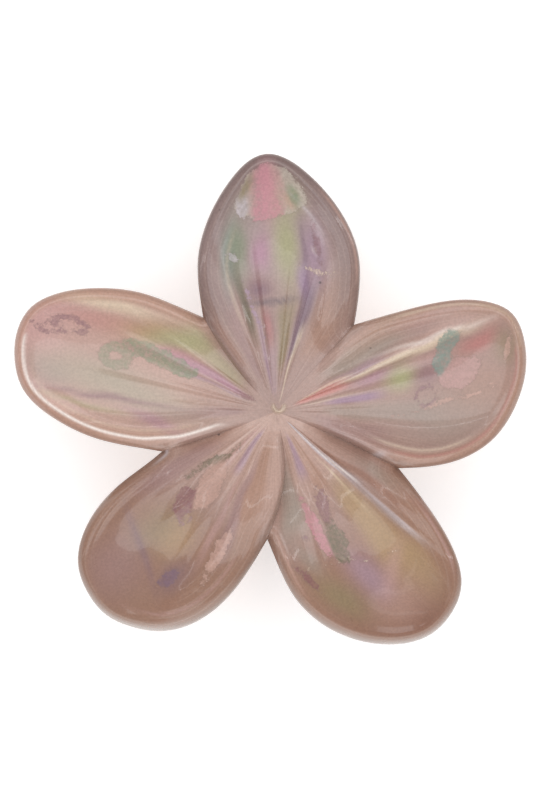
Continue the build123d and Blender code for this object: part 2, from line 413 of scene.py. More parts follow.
def makePiece(name, points, faces, material, back=False):
    mesh = bpy.data.meshes.new(name)
    faces = [face[::-1] for face in faces] if back else faces
    mesh.from_pydata(toFrame(points, back).tolist(), [], faces)
    mesh.polygons.foreach_set("use_smooth", np.ones(len(mesh.polygons), bool))
    mesh.materials.append(material)
    mesh.update()
    piece = bpy.data.objects.new(name, mesh)
    bpy.context.scene.collection.objects.link(piece)
    return piece


def pointFact(piece, name, values, kind="FLOAT"):
    # stores one number, vector or colour per point of the piece
    fact = piece.data.attributes.new(name, kind, "POINT")
    key = {"FLOAT": "value", "FLOAT_VECTOR": "vector", "FLOAT_COLOR": "color"}[kind]
    fact.data.foreach_set(key, np.asarray(values, np.float32).ravel())


def gridFaces(around, along, closed=False):
    # quads of a grid whose points run round first; closed joins the last ring to the first
    i, j = np.meshgrid(np.arange(around), np.arange(along if closed else along - 1), indexing="ij")
    here, there = (i + 1) % around, (j + 1) % along
    quads = [j * around + i, j * around + here, there * around + here, there * around + i]
    return np.stack(quads, -1).reshape(-1, 4)


def capFaces(around, first, pole, flip=False):
    # triangles from one ring of a grid to its pole
    i = np.arange(around)
    fan = np.stack([np.full(around, pole), first + (i + 1) % around, first + i], -1)
    return fan[:, ::-1] if flip else fan


toothSet = dict(
    first=10.3, pitch=5.0, front=4, back=3,       # on each side of the middle
    rootOuter=-29.7, kneeOuter=-30.3, rootInner=-23.4, kneeInner=-26.3, knee=0.45,
    tipY=-28.8, tipRadius=0.6, past=3.0, halfWidth=1.0, tipWidth=0.66, taper=1.6,
    square=3.0, flare=0.8, flareReach=0.05, around=36, rows=34, rowCrowd=1.15, capRows=6,
)


def toothHorn(x0):
    # a rounded rectangle carried down from the skin to the tip: its front and back
    # edges are parabolas, its corners a superellipse, its end a quarter circle
    f = toothSet
    v = np.concatenate([np.linspace(0, 1, f["rows"])**f["rowCrowd"], np.ones(f["capRows"])])
    cap = np.concatenate([np.zeros(f["rows"]), np.linspace(0, np.pi / 2, f["capRows"] + 1)[1:]])
    knots = [0, f["knee"], 1]
    outerEdge = [f["rootOuter"], f["kneeOuter"], f["tipY"] - f["tipRadius"]]
    innerEdge = [f["rootInner"], f["kneeInner"], f["tipY"] + f["tipRadius"]]
    outer, inner = (np.polyval(np.polyfit(knots, edge, 2), v) for edge in (outerEdge, innerEdge))
    spread = f["flare"] * np.exp(-v / f["flareReach"])
    shrink = np.maximum(np.cos(cap), 0.02)
    half = (inner - outer) / 2
    wide = (f["halfWidth"] + (f["tipWidth"] - f["halfWidth"]) * v**f["taper"] + spread) * shrink
    u = np.linspace(0, 2 * np.pi, f["around"], endpoint=False)
    cu, su = (np.sign(w) * np.abs(w)**(2 / f["square"]) for w in (np.cos(u), np.sin(u)))
    reachY = np.where(su > 0, ((half + spread) * shrink)[:, None], (half * shrink)[:, None])
    x = x0 + wide[:, None] * cu
    y = ((inner + outer) / 2)[:, None] + reachY * su
    tip = f["tipRadius"] - f["past"]
    root = skinMiddle(x[0], y[0])
    z = root * (1 - v)[:, None] + tip * v[:, None] - f["tipRadius"] * np.sin(cap)[:, None]
    poles = [[x0, y[0].mean(), root.mean()], [x0, f["tipY"], -f["past"]]]
    points = np.concatenate([np.stack([x, y, z], -1).reshape(-1, 3), poles])
    count = f["around"] * len(v)
    fans = [capFaces(f["around"], 0, count), capFaces(f["around"], count - f["around"], count + 1, True)]
    return points, gridFaces(f["around"], len(v))[:, ::-1].tolist() + np.concatenate(fans).tolist()


def joined(parts):
    # several closed meshes as one list of points and one of faces
    points, faces = [], []
    for p, f in parts:
        shift = sum(len(q) for q in points)
        points.append(p)
        faces += [[i + shift for i in face] for face in f]
    return np.concatenate(points), faces


def toothRow(back):
    f = toothSet
    count = f["back"] if back else f["front"]
    start = f["first"] + (f["pitch"] / 2 if back else 0)
    return joined([toothHorn(side * (start + i * f["pitch"])) for side in (1, -1) for i in range(count)])


lugSet = dict(
    radius=3.4, thickness=2.5, frontStart=6.0, backStart=8.8, frontHole=1.06, backHole=1.004,
    edge=0.4, holeEdge=0.18, around=96, edgeRows=6,
    flareReach=0.8, flareLong=0.198, flareWide=0.45,     # how the foot spreads into the skin
)


def lugPlate(start, hole):
    # an arch round the hinge, straight up to the skin: a rounded section carried round
    # the hole, with its outer line at the arch and its inner line at the hole
    f = lugSet
    u = np.linspace(0, 2 * np.pi, f["around"], endpoint=False)
    cy, sz = np.cos(u), np.sin(u)
    top = float(skinMiddle([start + f["thickness"] / 2], [hingeRise])[0])
    straight = np.minimum(f["radius"] / np.maximum(np.abs(cy), 1e-6), top / np.maximum(sz, 1e-6))
    far = np.where(sz > 0, straight, f["radius"])
    half, edge, chamfer = f["thickness"] / 2, f["edge"], f["holeEdge"]
    arc = np.linspace(0, np.pi / 2, f["edgeRows"])
    # one half of the section, from the hole's chamfer over the side to the outer edge:
    # place across, share of the way from hole to arch, and distance in from there
    x = np.concatenate([[half - chamfer, half, half, half], half - edge + edge * np.cos(arc), [0]])
    share = np.concatenate([[0, 0, 0.3, 0.7], np.ones(f["edgeRows"] + 1)])
    inset = np.concatenate([[0, -chamfer, 0, 0], edge * (1 - np.sin(arc)), [0]])
    x, share, inset = (np.concatenate([part, sign * part[-2::-1]])
                       for part, sign in ((x, -1), (share, 1), (inset, 1)))
    r = hole + share[:, None] * (far - hole)[None, :] - inset[:, None]
    y, z = cy * r, sz * r
    spread = np.exp(-(top - z) / f["flareReach"]) * (z > 0)
    y = y * (1 + f["flareLong"] * spread)
    x = x[:, None] * (1 + f["flareWide"] * spread) + start + half
    points = np.stack([x, y + hingeRise, z], -1).reshape(-1, 3)
    return points, gridFaces(f["around"], len(r), closed=True).tolist()


def lugPair(back):
    f = lugSet
    start, hole = (f["backStart"], f["backHole"]) if back else (f["frontStart"], f["frontHole"])
    return joined([lugPlate(start, hole), lugPlate(-start - f["thickness"], hole)])


springSet = dict(wire=0.6, coil=3.15, pitch=1.4, loops=7, leg=15.0, legLength=18.0,
                 roundEnd=0.3, around=20, turnPoints=56, legPoints=24)
seatSet = dict(at=15.0, length=5.0, half=2.0, slot=1.0, roof=0.65, height=4.2, rows=7, arch=9,
               bevel=0.22, bevelSegments=3)
springTurns = springSet["loops"] - 0.5 - springSet["leg"] / 180
springReach = springTurns * springSet["pitch"] / 2


def legLine(side):
    # where a leg leaves the coil and its direction, in the axes of its own jaw
    f = springSet
    a = math.radians(f["leg"])
    rise = f["pitch"] / (2 * math.pi * f["coil"])
    out = [side * springReach, hingeRise - f["coil"] * math.sin(a), f["coil"] * math.cos(a)]
    way = np.array([side * rise, math.cos(a), math.sin(a)])
    return np.array(out), way / np.linalg.norm(way)


def springSeat(side):
    # an upside-down channel carried along the leg, its top in the skin of the jaw
    f = seatSet
    out, way = legLine(side)
    up = np.cross([1, 0, 0], way)
    left = np.cross(up, way)
    arch = np.linspace(0, np.pi, f["arch"])
    half, slot, height = f["half"], f["slot"], f["height"]
    across = np.concatenate([[-half, -half, half, half, slot], slot * np.cos(arch), [-slot]])
    rise = np.concatenate([[0, height, height, 0, 0], f["roof"] * (0.2 + 0.8 * np.sin(arch)**0.5), [0]])
    steps = f["at"] + np.linspace(-0.5, 0.5, f["rows"]) * f["length"]
    points = out + steps[:, None, None] * way + across[None, :, None] * left + rise[None, :, None] * up
    high = rise == height
    points[:, high, 2] = skinMiddle(points[:, high, 0], points[:, high, 1])
    count, n = len(steps), len(across)
    ends = [list(range(n))[::-1], list(range((count - 1) * n, count * n))]
    return points.reshape(-1, 3), gridFaces(n, count).tolist() + ends


def tubeAlong(path, radius, around):
    # a circle carried along the path, its first spoke held square to the x axis, with
    # rounded ends; also gives the length along and the angle round at every point
    step = np.gradient(path, axis=0)
    tangent = step / np.linalg.norm(step, axis=1)[:, None]
    spoke = np.array([1.0, 0, 0]) - tangent[:, :1] * tangent
    spoke /= np.linalg.norm(spoke, axis=1)[:, None]
    other = np.cross(tangent, spoke)
    u = np.linspace(0, 2 * np.pi, around, endpoint=False)
    ring = np.cos(u)[None, :, None] * spoke[:, None, :] + np.sin(u)[None, :, None] * other[:, None, :]
    size = np.full(len(path), radius)
    size[[0, -1]] *= 0.6
    size[[1, -2]] *= 0.9
    points = path[:, None, :] + size[:, None, None] * ring
    along = np.concatenate([[0], np.cumsum(np.linalg.norm(np.diff(path, axis=0), axis=1))])
    way = np.stack(np.broadcast_arrays(along[:, None], u[None, :], 0.0), -1)
    points = np.concatenate([points.reshape(-1, 3), path[[0, -1]]])
    way = np.concatenate([way.reshape(-1, 3), [[0, 0, 0], [along[-1], 0, 0]]])
    count = around * len(path)
    fans = np.concatenate([capFaces(around, 0, count), capFaces(around, count - around, count + 1, True)])
    return points, gridFaces(around, len(path)).tolist() + fans.tolist(), way


def springPath():
    # a leg, the left-handed coil on the hinge line, and the other leg
    f = springSet
    legs = []
    for side in (-1, 1):
        out, way = legLine(side)
        end = f["legLength"]
        s = np.append(np.linspace(0, end - f["roundEnd"], f["legPoints"]), [end - f["roundEnd"] / 3, end])[1:]
        leg = out + s[:, None] * way
        legs.append(leg * [1, 1, side])       # the back leg is on the far side of the closing plane
    u = np.linspace(0, 1, int(springTurns * f["turnPoints"]))
    a = math.radians(-90 - f["leg"]) - 2 * np.pi * springTurns * u
    x = springReach * (2 * u - 1)
    coil = np.stack([x, hingeRise + f["coil"] * np.cos(a), f["coil"] * np.sin(a)], 1)
    return np.concatenate([legs[0][::-1], coil, legs[1]])


# colours of the plastic and of the pearl film on it, as they look in daylight, 0 to 255
tones = dict(
    rose=(176, 148, 139), roseLight=(196, 166, 154), brown=(160, 116, 94), tan=(181, 141, 118),
    rim=(136, 114, 110),
    pink=(214, 152, 164), blush=(206, 168, 164), yellowGreen=(180, 184, 136), green=(142, 158, 130),
    teal=(132, 162, 152), violet=(158, 128, 174), orchid=(188, 142, 166), lilac=(180, 154, 176),
    ivory=(234, 216, 192),
    peach=(210, 174, 160), salmon=(224, 154, 146), gold=(188, 160, 118), maroon=(140, 92, 98),
    plum=(128, 104, 122), olive=(150, 137, 100),
    moss=(112, 110, 84), shade=(104, 88, 96), mauve=(156, 122, 128), frost=(214, 208, 214),
    # paintedHighlight is the tone of painted highlights and glints
    paintedHighlight=(255, 247, 240), shell=(205, 197, 184), haze=(190, 174, 176), celadon=(190, 184, 164),
    sage=(158, 160, 136), mist=(168, 160, 148), coral=(200, 134, 130),
)
# Every petal's film: the tone of its middle and of its tip and how pale or deep it is, then
# wedges that run out from the flower's middle as (turn, half turn, from radius, to
# radius, tone, strength), and soft patches as (along, across, half length, half width,
# turn, tone, strength), in degrees and mm. Some wedges and patches are painted
# highlights and painted reflections, marked where they stand.
film = dict(
    right=dict(ground="rose", tip="rose", gloom=1.1, pale=0.5, wedges=[
        (7, 5, 3.5, 12, "salmon", 0.85), (12, 3, 11, 18, "lilac", 0.5), (11.5, 1.2, 4, 13, "ivory", 0.6),
        (-3, 0.8, 4, 13, "ivory", 0.5),
        # the ivory wedge at 8.6 degrees is a painted highlight along the ridge of the 8.5 degree pleat
        (-6, 2.6, 9, 17, "violet", 0.6), (8.6, 1.5, 12, 34, "ivory", 1.0),
        (11.5, 1.6, 22, 36, "peach", 0.6),
        (20, 6, 10, 24, "mist", 0.7), (-15, 5, 8, 24, "mist", 0.5),
        (-30, 8, 6, 16, "mauve", 0.35)], soft=[
        (26, -8, 8, 4, 0, "mist", 0.45), (33, -5, 6, 4, 0, "tan", 0.4),
        (28, 8.2, 8, 1.2, 4, "lilac", 0.4), (16.5, 1.1, 4, 0.9, 6, "orchid", 0.6),
        (20.6, 0.2, 2.6, 1.9, 20, "yellowGreen", 0.95), (24, 1.8, 4, 1.0, 8, "blush", 0.5),
        (24.5, -0.6, 2.2, 1.8, 0, "mauve", 0.75), (33.5, 2.4, 3.2, 1.3, 20, "coral", 0.8),
        (37.4, 0.6, 2.4, 2.6, 0, "olive", 0.5), (31, 7.4, 5, 2.0, 0, "frost", 0.35),
        # the frost patch at 13.6 mm along, by the notch, is a painted highlight on a small facet
        (35, 5.2, 4, 1.0, -8, "peach", 0.5), (13.6, -11.0, 1.4, 0.6, 15, "frost", 0.8),
        # the thin paintedHighlight patch along the ridge is a painted highlight
        (27, 4.9, 9, 0.35, 3, "paintedHighlight", 0.7)]),
    top=dict(ground="rose", tip="rim", gloom=0.98, pale=0.1, wedges=[
        (33, 3, 8, 24, "brown", 0.45), (23, 4, 6, 20, "mauve", 0.35), (9, 1.6, 5, 16, "lilac", 0.5),
        (14, 2.3, 13, 23, "moss", 0.8), (3, 4.0, 11, 16.5, "maroon", 0.6), (3, 2.4, 11, 16, "coral", 0.5),
        (-8.5, 5.0, 7, 17, "olive", 0.75),
        (-18, 3.4, 8, 21, "plum", 0.85), (-20, 1.6, 1.5, 13, "ivory", 0.65), (-32, 8, 9, 22, "tan", 0.6),
        (4, 8, 3, 10, "lilac", 0.3)], soft=[
        (28, 0, 8, 12, 0, "haze", 0.75),
        (35, 0, 5, 1.6, 0, "pink", 0.8), (33, 3.4, 3, 2.4, 0, "mist", 0.6),
        (33, -3.5, 3, 2.4, 0, "yellowGreen", 0.5),
        (24.5, 6.6, 6, 1.4, -4, "teal", 0.6), (25.5, 4.9, 5, 1.7, 8, "green", 0.75),
        (25.2, 1.3, 3.0, 1.8, -16, "orchid", 0.9), (25.5, -2.6, 6, 2.2, 5, "yellowGreen", 0.8),
        (24.5, -6.8, 5, 2.0, 0, "lilac", 0.8),
        (19.6, 1.9, 2.0, 1.9, 0, "maroon", 0.7), (19.4, 1.9, 1.2, 1.6, 0, "plum", 0.5),
        (17.4, -0.2, 0.55, 3.9, 0, "shade", 0.75),
        # the small paintedHighlight patch at 25 mm along is a painted glint on the drop
        (24, -5.4, 6, 0.5, 4, "plum", 0.55), (25.0, -6.9, 0.32, 0.3, 0, "paintedHighlight", 1.0),
        (20, -5, 2.5, 1.0, 4, "violet", 0.5)]),
    left=dict(ground="roseLight", tip="blush", gloom=1.14, pale=0.5, wedges=[
        (-24, 6, 7, 18, "yellowGreen", 0.55), (-12, 4, 6, 20, "orchid", 0.7),
        (-5.5, 1.4, 6, 17, "lilac", 0.5),
        (4, 4, 6, 18, "peach", 0.35), (19, 5, 5, 20, "mauve", 0.4)], soft=[
        (29, 3.0, 9, 4.5, 0, "roseLight", 0.8), (36, 4.6, 4, 2.6, 0, "mist", 0.6),
        (25, 3.4, 12, 2.9, -3, "celadon", 0.75),
        # the ivory patch near the upper rim is a painted reflection
        (29.7, -8.1, 8.5, 1.1, 4, "ivory", 1.0), (30, -5.4, 7, 1.7, 4, "coral", 0.4),
        (22.5, -6.2, 5, 1.8, 10, "gold", 0.7),
        (18, -5.8, 5.5, 1.9, 14, "yellowGreen", 0.7), (20, -3.4, 5, 1.0, 10, "pink", 0.55),
        (17.5, 7.3, 5, 0.9, -6, "orchid", 0.5), (26, 5.8, 10, 0.45, 8, "mauve", 0.75),
        (30, 8.0, 8, 0.5, 4, "yellowGreen", 0.45)]),
    lowerLeft=dict(ground="tan", tip="tan", gloom=0.76, pale=1.5, tinted=14, wedges=[
        (6, 3.5, 4, 11, "lilac", 0.7), (26, 6, 5, 20, "tan", 0.7), (18.5, 3, 9, 24, "mauve", 0.45),
        (12, 1.4, 12, 26, "blush", 0.55),
        (-21, 5, 10, 24, "mauve", 0.4), (-4, 3, 4, 12, "blush", 0.5)], soft=[
        (26, -2.6, 5, 3.0, -10, "olive", 0.55), (25, 0.8, 4, 2.5, 0, "gold", 0.5),
        (34, -4.0, 6, 5.0, 0, "lilac", 0.2), (30, -3, 6.7, 0.7, 58, "plum", 0.45),
        (30, 4.2, 3, 1.9, 0, "plum", 0.5),
        (35, 8, 4, 2.6, 0, "brown", 0.5)]),
    lowerRight=dict(ground="tan", tip="brown", gloom=0.81, pale=1.4, tinted=15, wedges=[
        # the frost and paintedHighlight wedges at 13.5 to 15 degrees are a painted highlight along the ridge of the
        # 14.5 degree pleat
        (14.5, 2.1, 3, 12, "frost", 1.0), (14.5, 1.5, 3, 17, "frost", 0.9),
        (14.9, 0.6, 5, 16, "paintedHighlight", 0.9), (13.5, 0.9, 18, 30, "frost", 0.7),
        (8.3, 0.8, 11, 21, "ivory", 1.0),
        (6, 6, 15, 33, "gold", 0.75), (-4, 5, 5, 15, "tan", 0.6), (-11.5, 3.5, 5, 11, "lilac", 0.75),
        (-25, 6, 9, 18, "mist", 0.8), (18.5, 1.6, 8, 26, "brown", 0.6), (24, 3, 16, 23, "mist", 0.7),
        (23.5, 2.5, 24, 30, "coral", 0.45)], soft=[
        (33, 4.6, 5, 2.6, 0, "gold", 0.5), (36, -1, 4, 4.5, 0, "peach", 0.4),
        (30, -8, 5, 2.2, 20, "olive", 0.7), (29, -2.6, 4.5, 2.6, 10, "lilac", 0.6),
        (31, 0.6, 1.4, 5, 35, "blush", 0.45),
        (22, -9, 3, 1.2, 10, "mist", 0.5)]),
)
# places where the film is creased, as flakes with ragged edges: along, across, half
# length, half width, turn, tone; a ring has its line's half width as one more number
flakes = dict(
    right=[(28.7, 3.2, 2.8, 1.5, 30, "teal"), (27.0, 0.6, 1.7, 1.7, 0, "teal"),
           (29.6, -1.6, 3.4, 2.3, 10, "blush"),
           (23.5, -3.9, 1.9, 1.5, 0, "mauve", 0.3), (37.6, 0.4, 1.8, 0.7, 60, "peach"),
           (27.5, -5.4, 8.0, 0.35, 2, "peach")],
    # the flakes at the top petal's tip, shell to green, are a painted reflection of a bright window in the bowl's
    # upper wall, in the film's own colours
    top=[(36.6, 0.0, 6.2, 8.0, 0, "shell"), (34.8, 0.3, 4.8, 3.0, 0, "blush"),
         (34.8, 0.6, 4.6, 1.7, 0, "pink"), (31.6, 0.2, 1.6, 3.0, 0, "pink"),
         (33.0, -3.6, 1.6, 1.3, 0, "peach"),
         (32.8, 4.2, 2.0, 1.2, 0, "frost"), (35.0, 3.6, 2.2, 0.8, -30, "olive"),
         (33.6, -3.9, 1.9, 1.0, 20, "green"),
         (26.0, -7.4, 2.9, 0.5, 4, "mauve"), (21.6, -8.4, 0.35, 3.4, -10, "ivory"),
         (24, 5.9, 1.2, 0.6, 40, "frost"),
         (16.5, 3.0, 3.6, 0.3, 16, "lilac")],
    left=[(19.4, -2.5, 6.4, 1.5, -8, "green"), (26.6, -0.8, 2.0, 1.5, 0, "sage", 0.75),
          (5.0, -1.0, 1.3, 0.34, -12, "maroon"), (39.6, -1.8, 1.8, 0.45, -16, "mauve"),
          (34.8, -3.1, 2.6, 1.2, 4, "mauve", 0.35)],
    lowerLeft=[(19.9, -2.0, 2.5, 1.6, 20, "maroon"), (15.3, -0.7, 4.6, 1.8, 14, "peach"),
               (12.3, -2.4, 4.2, 0.55, -20, "moss"),
               (23.2, 7.2, 4.4, 1.1, 13, "peach"), (30.8, 3.6, 2.2, 1.0, -20, "plum"),
               (21.5, -0.2, 1.1, 0.9, 0, "mauve", 0.16)],
    lowerRight=[(18.8, -5.2, 5.0, 1.0, -8, "pink"), (22.5, -3.7, 4.0, 1.4, -12, "moss"),
                (16.4, -2.4, 3.0, 0.9, -16, "mauve"),
                (24.6, -10.6, 2.4, 0.6, 14, "maroon"), (19, -7.4, 0.5, 0.5, 0, "mauve"),
                (26.6, -2.4, 0.16, 4.0, -24, "ivory")],
)
# painted highlight lines along parts of the rim: petal, side, from
# and to along it, distance in from the rim, tone, strength
rimHighlights = [(2, 1, 6, 44, 1.45, "paintedHighlight", 1.0), (2, 1, 10, 40, 2.6, "ivory", 0.35),
            (0, -1, 14, 42, 1.6, "coral", 0.4),
            (0, -1, 12, 30, 2.5, "ivory", 0.5), (0, 1, 20, 42, 0.7, "ivory", 0.5),
            (1, -1, 18, 36, 0.5, "peach", 0.7),
            (1, 1, 12, 30, 4.6, "ivory", 0.35), (1, -1, 26, 37, 4.2, "frost", 0.5),
            (3, -1, 12, 20, 0.8, "frost", 0.7),
            (3, 1, 20, 40, 2.8, "blush", 0.4), (4, 1, 24, 38, 1.0, "blush", 0.5),
            (4, -1, 14, 28, 1.6, "peach", 0.5)]
paint = dict(
    depth=(0.915, 0.865, 0.85),           # deepens every tone: red, green, blue
    wander=0.35, backTurn=2,              # unevenness in mm; petals the back film is moved round by
    rimShade=0.72, rimHalf=0.7, bare=0.65, bandKeep=0.7,   # the dark edge, and the band's thin film
    fadeIn=(0.7, 1.2), fadeOut=(0.85, 1.12),              # how a wedge starts and stops
    flakeInk=0.85, overlap=0.25, flakeEdge=(-0.3, 0.6),   # how one flake covers another
    lineHalf=0.24, lineFade=4.0,
    # seamShade and seamShadeLevel set the painted shade in the seam valleys
    hookInk=0.85, hookHalf=0.32, seamShade=0.32, seamShadeLevel=0.85, inside=0.95,
)


def daylight(tone):
    # screen colour to linear
    c = np.array(tones[tone]) / 255
    return np.where(c <= 0.04045, c / 12.92, ((c + 0.055) / 1.055)**2.4) * np.array(paint["depth"])


def washed(colour, name, amount, light=1.0):
    # every point's colour drawn towards a named tone by its own amount
    return colour + (daylight(name) * light - colour) * amount[:, None]


def ripple(x, y, seed, size):
    # smooth unevenness: seven sine waves in seeded directions, about size mm long
    rng = np.random.default_rng(seed)
    draws = [rng.uniform(low, high, 7) for low, high in ((0, np.pi), (0, 2 * np.pi), (0.7, 1.6))]
    total = np.zeros(np.shape(x))
    for turn, phase, stretch in zip(*draws):
        total += np.sin((x * math.cos(turn) + y * math.sin(turn)) * 2 * np.pi / (size * stretch) + phase)
    return total / 7**0.5


def petalFilm(sheet, s, w, length):
    # ground and tip tones, then the pale middle, the wedges and the soft patches in turn
    f = paint
    colour = np.tile(daylight("rose"), (len(s), 1))
    first = sheet.get("tinted", 4)
    colour = washed(colour, sheet["ground"], smoothStep(s, first, first + 12), sheet["gloom"])
    colour = washed(colour, sheet["tip"], smoothStep(s, 0.62 * length, length), sheet["gloom"])
    colour = washed(colour, "roseLight", sheet["pale"] * (1 - smoothStep(s, 8, 22)))
    turn = np.degrees(np.arctan2(w, np.maximum(s, 0.01)))
    for middle, half, start, stop, name, strength in sheet["wedges"]:
        amount = strength * np.exp(-(np.abs(turn - middle) / half)**4)
        amount *= smoothStep(s, *(part * start for part in f["fadeIn"]))
        amount *= 1 - smoothStep(s, *(part * stop for part in f["fadeOut"]))
        colour = washed(colour, name, amount)
    for patch in sheet["soft"]:
        colour = washed(colour, patch[5], patch[6] * np.exp(-patchReach(s, w, patch)**2.4))
    return colour


def pearlFilm(points, facts, turnOn=0):
    # film tone with its painted highlights and painted shade, flake tone and distance into the nearest flake, for
    # every point
    f = paint
    x, y = points[:, 0], points[:, 1]
    along, across, rim, band, which, sunk = facts.T
    bendAlong = along + f["wander"] * ripple(x, y, 11, 9.0)
    bendAcross = across + 0.5 * f["wander"] * ripple(x, y, 12, 7.0)
    tone = np.zeros((len(points), 3))
    flakeTone = np.tile(daylight("rose"), (len(points), 1))
    inFlake = np.full(len(points), -9.0)
    for k, petal in enumerate(petals):
        mine = np.rint(which) == k
        petalName = petals[(k + turnOn) % len(petals)]["name"]
        sheet = film[petalName]
        s, w = bendAlong[mine], bendAcross[mine]
        colour = petalFilm(sheet, s, w, petal["length"])
        # the film is thin on the rim band, where the plain plastic shows
        onBand = 1 - smoothStep(rim[mine] / band[mine], 0.4, 1.0)
        plain = daylight("rim" if sheet["tip"] == "rim" else "tan") * sheet["gloom"]
        tone[mine] = plain + (colour - plain) * (1 - f["bare"] * onBand * smoothStep(s, 8, 20))[:, None]
        nearest, best = flakeTone[mine], inFlake[mine]
        for flake in flakes[petalName]:
            out = patchReach(s, w, flake)
            size = min(flake[2], flake[3])
            depth = flake[6] - np.abs(out - 1) * size if len(flake) > 6 else (1 - out) * size
            amount = np.where(best > f["overlap"], smoothStep(depth, *f["flakeEdge"]), depth > best)
            ink = f["flakeInk"] * daylight(flake[5]) + (1 - f["flakeInk"]) * tone[mine]
            nearest += (ink - nearest) * amount[:, None]
            best = np.maximum(best, depth)
        flakeTone[mine], inFlake[mine] = nearest, np.minimum(best, rim[mine] - f["bandKeep"] * band[mine])
    tone = washed(tone, "ivory", f["hookInk"] * gateHook(x, y, f["hookHalf"]))
    # painted shade: the tone is drawn to brown where the petal lies under its neighbour at a seam
    tone = washed(tone, "brown", f["seamShade"] * sunk**2, f["seamShadeLevel"])
    # painted highlight lines along the rim
    for k, side, start, stop, far, name, strength in rimHighlights:
        mine = (np.rint(which) == (k - turnOn) % len(petals)) & (across * side > 0)
        amount = strength * np.exp(-((rim - far) / f["lineHalf"])**2) * mine
        amount *= smoothStep(along, start, start + f["lineFade"])
        amount *= 1 - smoothStep(along, stop - f["lineFade"], stop)
        tone = washed(tone, name, amount)
    # painted shade: the tone darkens towards the petal's rounded rim edge
    edge = 1 - (1 - f["rimShade"]) * np.exp(-(rim / f["rimHalf"])**2)
    return tone * edge[:, None], flakeTone, inFlake


def addNode(tree, kind, sockets=None, **facts):
    # one node with its settings; a socket's value is a number, a colour or another socket
    made = tree.nodes.new(kind)
    for key, value in facts.items():
        setattr(made, key, value)
    for key, value in (sockets or {}).items():
        if isinstance(value, bpy.types.NodeSocket):
            tree.links.new(value, made.inputs[key])
        else:
            made.inputs[key].default_value = value
    return made


def maths(tree, operation, first, *others):
    # the operation with each of the other values in turn
    for other in others:
        first = addNode(tree, "ShaderNodeMath", {0: first, 1: other}, operation=operation).outputs[0]
    return first


def times(tree, *values):
    return maths(tree, "MULTIPLY", *values)


def plus(tree, *values):
    return maths(tree, "ADD", *values)


def remap(tree, value, fromMin, fromMax, toMin=0.0, toMax=1.0, curve="SMOOTHSTEP"):
    ends = {"Value": value, "From Min": fromMin, "From Max": fromMax, "To Min": toMin, "To Max": toMax}
    return addNode(tree, "ShaderNodeMapRange", ends, interpolation_type=curve).outputs[0]


def objectPlace(tree):
    return tree.nodes.new("ShaderNodeTexCoord").outputs["Object"]


def attribute(tree, name, output):
    return addNode(tree, "ShaderNodeAttribute", attribute_name=name).outputs[output]


def vectors(tree, operation, first, second=None, output=0):
    given = {0: first} if second is None else {0: first, 1: second}
    return addNode(tree, "ShaderNodeVectorMath", given, operation=operation).outputs[output]


def stretched(tree, place, scale, turn=0.0):
    given = {"Vector": place, "Rotation": (0, 0, turn), "Scale": scale}
    return addNode(tree, "ShaderNodeMapping", given).outputs[0]


def noise(tree, place, scale, detail=3.0, roughness=0.55):
    given = {"Vector": place, "Scale": scale, "Detail": detail, "Roughness": roughness}
    return addNode(tree, "ShaderNodeTexNoise", given).outputs["Fac"]


def effect(name, inputs, outputs):
    # an empty shader group: numbers in, by name and value, and numbers out, by name
    tree = bpy.data.node_groups.new(name, "ShaderNodeTree")
    kind = "NodeSocketFloat"
    for key, value in inputs.items():
        tree.interface.new_socket(name=key, in_out="INPUT", socket_type=kind).default_value = value
    for key in outputs:
        tree.interface.new_socket(name=key, in_out="OUTPUT", socket_type=kind)
    return tree, tree.nodes.new("NodeGroupInput").outputs, tree.nodes.new("NodeGroupOutput").inputs


def madeFlowLines():
    # fine lines that run out from the flower's middle, where the melt flowed in: noise
    # on the direction from the middle, which changes only slowly with the radius
    inputs = {"Middle X": 0.0, "Middle Y": 0.0, "Count": 26.0, "Drift": 60.0,
              "Fade from": 0.02, "Fade to": 0.04}
    tree, given, result = effect("flowLines", inputs, ["Lines", "Fine", "Near"])
    centre = {"X": given["Middle X"], "Y": given["Middle Y"]}
    middle = addNode(tree, "ShaderNodeCombineXYZ", centre).outputs[0]
    flat = vectors(tree, "MULTIPLY", vectors(tree, "SUBTRACT", objectPlace(tree), middle), (1, 1, 0))
    radius = vectors(tree, "LENGTH", flat, output="Value")
    heading = vectors(tree, "NORMALIZE", flat)
    drift = addNode(tree, "ShaderNodeCombineXYZ", {"Z": times(tree, radius, given["Drift"])}).outputs[0]
    for output, share in (("Lines", 1.0), ("Fine", 3.1)):
        wide = {0: heading, "Scale": times(tree, given["Count"], share)}
        spread = addNode(tree, "ShaderNodeVectorMath", wide, operation="SCALE").outputs[0]
        tree.links.new(noise(tree, vectors(tree, "ADD", spread, drift), 1.0, 2.0), result[output])
    fade = remap(tree, radius, given["Fade from"], given["Fade to"], 1.0, 0.0, "LINEAR")
    tree.links.new(fade, result["Near"])
    return tree


